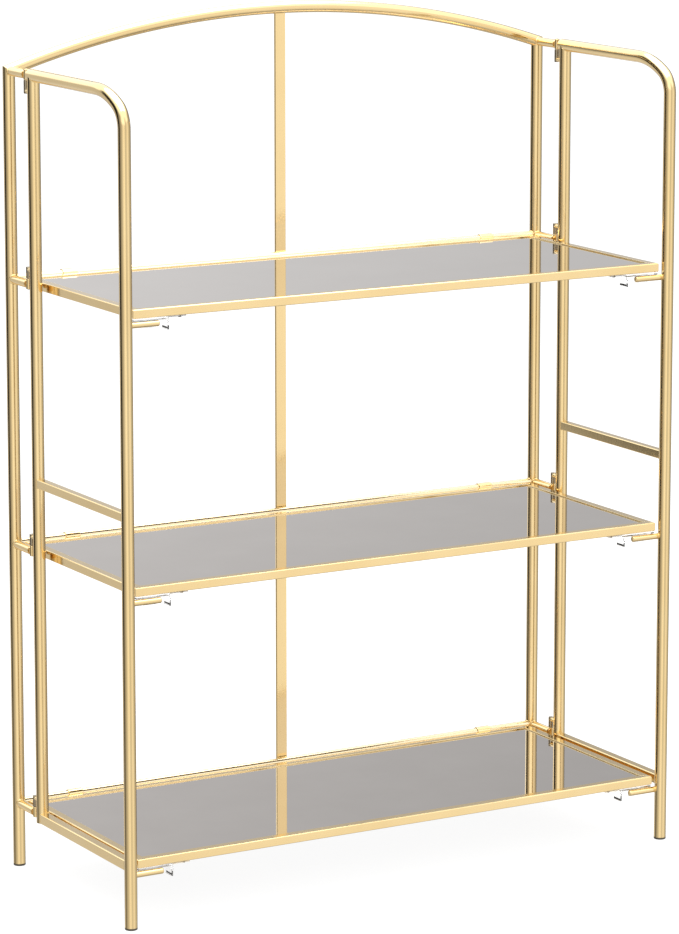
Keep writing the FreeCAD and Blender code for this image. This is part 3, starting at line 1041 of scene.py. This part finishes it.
# The low sky behind the rack, which the panels mirror: span round the ring, height and levels
BEHIND = ((0.0, 0.0), (0.632, 0.0), (0.644, 1.0), (0.700, 1.0), (0.716, 0.0), (1.0, 0.0))
BEHIND_HEIGHT = ((0.0, 0.0), (0.505, 0.0), (0.53, 1.0), (0.67, 1.0), (0.71, 0.0), (1.0, 0.0))
BEHIND_LEVEL = ((0.0, 0.65), (0.577, 0.65), (0.609, 0.565), (0.640, 0.51), (0.70, 0.55))
BEHIND_FALL = ((0.0, 0.78), (0.655, 0.78), (0.680, 1.0), (1.0, 1.0))
# Sky round the rest of the horizon, brighter than the room, which only glossy rays see
SKY_AROUND = (
    (0.0, 0.0),
    (0.05, 0.3),
    (0.10, 1.0),
    (0.20, 1.0),
    (0.26, 0.0),
    (0.630, 0.0),
    (0.648, 1.0),
    (0.836, 1.0),
    (0.848, 0.0),
    (1.0, 0.0),
)
SKY_FRONT = ((0.0, 0.0), (0.26, 0.0), (0.31, 1.0), (0.39, 1.0), (0.45, 0.0), (1.0, 0.0))
SKY_FRONT_HEIGHT = ((0.0, 0.0), (0.64, 0.0), (0.70, 1.0), (1.0, 1.0))
SKY_ABOVE = ((0.0, 0.0), (0.70, 0.0), (0.82, 1.0), (1.0, 1.0))
SKY_FROM = 0.10
SKY_FULL = 0.30
SKY_GAIN = 0.50
SKY_COLOUR = (0.88, 0.94, 1.0, 1.0)
ROOM_STRENGTH = 1.15
WHITE = (1.0, 1.0, 1.0, 1.0)

LIGHT_COLOUR = (1.0, 0.985, 0.96)
LIGHT_AIM = Vector((0.0, 0.0, 0.45))
FLOOR_SIZE = 60.0
FLOOR_LIFT = 0.9
FLOOR_GREY = 0.2
FLOOR_ROUGHNESS = 0.9


def math_pair(tree, operation, first, second):
    node = add_node(tree, "ShaderNodeMath", operation=operation)
    tree.links.new(first, node.inputs[0])
    tree.links.new(second, node.inputs[1])
    return node.outputs[0]


def product(tree, first, second):
    return math_pair(tree, "MULTIPLY", first, second)


def larger(tree, first, second):
    return math_pair(tree, "MAXIMUM", first, second)


def seen_directly(tree, path):
    """Factor of 1 for the camera's own rays and for those that pass through clear plastic."""
    return larger(tree, path.outputs["Is Camera Ray"], path.outputs["Is Transmission Ray"])


def colour_mix(tree, factor, first, second):
    node = add_node(tree, "ShaderNodeMix", data_type="RGBA")
    tree.links.new(factor, node.inputs["Factor"])
    tree.links.new(first, node.inputs["A"])
    tree.links.new(second, node.inputs["B"])
    return node.outputs["Result"]


def studio_world():
    """White to the camera; to all else, a softly lit room that is dark at the left rear."""
    world = bpy.data.worlds.new("studio")
    bpy.context.scene.world = world
    world.use_nodes = True
    tree = world.node_tree
    link = tree.links.new
    room = tree.nodes["Background"]
    output = tree.nodes["World Output"]
    direction = add_node(tree, "ShaderNodeTexCoord").outputs["Generated"]
    axes = add_node(tree, "ShaderNodeSeparateXYZ")
    link(direction, axes.inputs[0])

    # Compass angle of the direction, as a share of a turn from the left round by the front
    compass = add_node(tree, "ShaderNodeMath", operation="ARCTAN2")
    link(axes.outputs["Y"], compass.inputs[0])
    link(axes.outputs["X"], compass.inputs[1])
    share = add_node(tree, "ShaderNodeMapRange")
    set_inputs(share, From_Min=-math.pi, From_Max=math.pi)
    link(compass.outputs[0], share.inputs["Value"])
    around = share.outputs["Result"]
    ring = ramp_of(tree, around, RING)

    # Height above the horizon
    rise = add_node(tree, "ShaderNodeMapRange")
    set_inputs(rise, From_Min=-1.0, From_Max=1.0)
    link(axes.outputs["Z"], rise.inputs["Value"])
    up = rise.outputs["Result"]
    height = ramp_of(tree, up, HEIGHT_SHARE)
    level = ramp_of(tree, up, HEIGHT_LEVEL)
    blend = colour_mix(tree, height, ring, level)
    behind = product(tree, ramp_of(tree, around, BEHIND), ramp_of(tree, up, BEHIND_HEIGHT))
    low_sky = product(tree, ramp_of(tree, around, BEHIND_FALL), ramp_of(tree, up, BEHIND_LEVEL))
    blend = colour_mix(tree, behind, blend, low_sky)

    # Glossy rays see a brighter sky, but for the part behind the rack
    path = add_node(tree, "ShaderNodeLightPath")
    open_sky = add_node(tree, "ShaderNodeMapRange", interpolation_type="SMOOTHSTEP")
    set_inputs(open_sky, From_Min=SKY_FROM, From_Max=SKY_FULL)
    link(axes.outputs["Z"], open_sky.inputs["Value"])
    sides = product(tree, open_sky.outputs["Result"], ramp_of(tree, around, SKY_AROUND))
    front = product(tree, ramp_of(tree, up, SKY_FRONT_HEIGHT), ramp_of(tree, around, SKY_FRONT))
    clear = larger(tree, larger(tree, sides, front), ramp_of(tree, up, SKY_ABOVE))
    elsewhere = add_node(tree, "ShaderNodeMath", operation="SUBTRACT")
    elsewhere.inputs[0].default_value = 1.0
    link(behind, elsewhere.inputs[1])
    clear = product(tree, clear, elsewhere.outputs[0])
    shining = product(tree, clear, path.outputs["Is Glossy Ray"])

    strength = add_node(tree, "ShaderNodeMath", operation="MULTIPLY_ADD")
    link(shining, strength.inputs[0])
    strength.inputs[1].default_value = SKY_GAIN
    strength.inputs[2].default_value = ROOM_STRENGTH
    link(strength.outputs[0], room.inputs["Strength"])
    cool = add_node(tree, "ShaderNodeMix", data_type="RGBA")
    link(shining, cool.inputs["Factor"])
    link(blend, cool.inputs["A"])
    cool.inputs["B"].default_value = SKY_COLOUR
    link(cool.outputs["Result"], room.inputs["Color"])

    white = add_node(tree, "ShaderNodeBackground")
    white.inputs["Color"].default_value = WHITE
    choose = add_node(tree, "ShaderNodeMixShader")
    link(seen_directly(tree, path), choose.inputs[0])
    link(room.outputs[0], choose.inputs[1])
    link(white.outputs[0], choose.inputs[2])
    link(choose.outputs[0], output.inputs["Surface"])


def area_light(name, place, size, watts):
    data = bpy.data.lights.new(name, "AREA")
    data.shape = "RECTANGLE"
    data.size, data.size_y = size
    data.energy = watts
    data.color = LIGHT_COLOUR
    lamp = bpy.data.objects.new(name, data)
    bpy.context.scene.collection.objects.link(lamp)
    lamp.location = place
    aim = LIGHT_AIM - Vector(place)
    lamp.rotation_euler = aim.to_track_quat("-Z", "Y").to_euler()
    return lamp


def studio_lights():
    area_light("overhead_softbox", place=(0.0, 0.2, 3.0), size=(3.2, 3.2), watts=95.0)
    front = area_light("front_softbox", place=(1.6, -3.0, 1.7), size=(1.4, 1.8), watts=22.0)
    front.visible_glossy = False


def floor():
    """Pale floor that keeps the rack's soft shadow and shows white to the camera."""
    deselect_all()
    bpy.ops.mesh.primitive_plane_add(size=FLOOR_SIZE, location=(0, 0, 0))
    plane = bpy.context.object
    plane.name = "studio_floor"
    material, tree, shader = new_material("studio_floor")
    link = tree.links.new
    shader.inputs["Base Color"].default_value = (FLOOR_GREY, FLOOR_GREY, FLOOR_GREY, 1)
    shader.inputs["Roughness"].default_value = FLOOR_ROUGHNESS
    path = add_node(tree, "ShaderNodeLightPath")
    nothing = add_node(tree, "ShaderNodeEmission")
    nothing.inputs["Strength"].default_value = 0.0
    lift = add_node(tree, "ShaderNodeEmission")
    lift.inputs["Strength"].default_value = FLOOR_LIFT
    seen = add_node(tree, "ShaderNodeMixShader")
    link(seen_directly(tree, path), seen.inputs[0])
    link(nothing.outputs[0], seen.inputs[1])
    link(lift.outputs[0], seen.inputs[2])
    total = add_node(tree, "ShaderNodeAddShader")
    link(shader.outputs[0], total.inputs[0])
    link(seen.outputs[0], total.inputs[1])
    link(total.outputs[0], tree.nodes["Material Output"].inputs["Surface"])
    plane.data.materials.append(material)
    plane.visible_glossy = False


def camera():
    data = bpy.data.cameras.new("camera")
    data.sensor_width = SENSOR
    data.lens = FOCAL_PIXELS * SENSOR / PICTURE_HEIGHT
    data.shift_y = -(PICTURE_HEIGHT / 2 - PRINCIPAL_ROW) / PICTURE_HEIGHT
    data.clip_end = CAMERA_REACH
    piece = bpy.data.objects.new("camera", data)
    bpy.context.scene.collection.objects.link(piece)
    piece.location = CAMERA_PLACE
    piece.rotation_euler = (math.radians(CAMERA_TILT), 0, math.radians(CAMERA_TURN))
    bpy.context.scene.camera = piece


FINISH = finishes()
dress_packed_pieces()
back_frame()
for side_name, side_way in SIDES.items():
    side_frame(side_name, side_way)
for shelf_level in LEVELS:
    shelf(shelf_level)
camera()
studio_world()
studio_lights()
floor()
bpy.context.scene.view_settings.view_transform = "Standard"
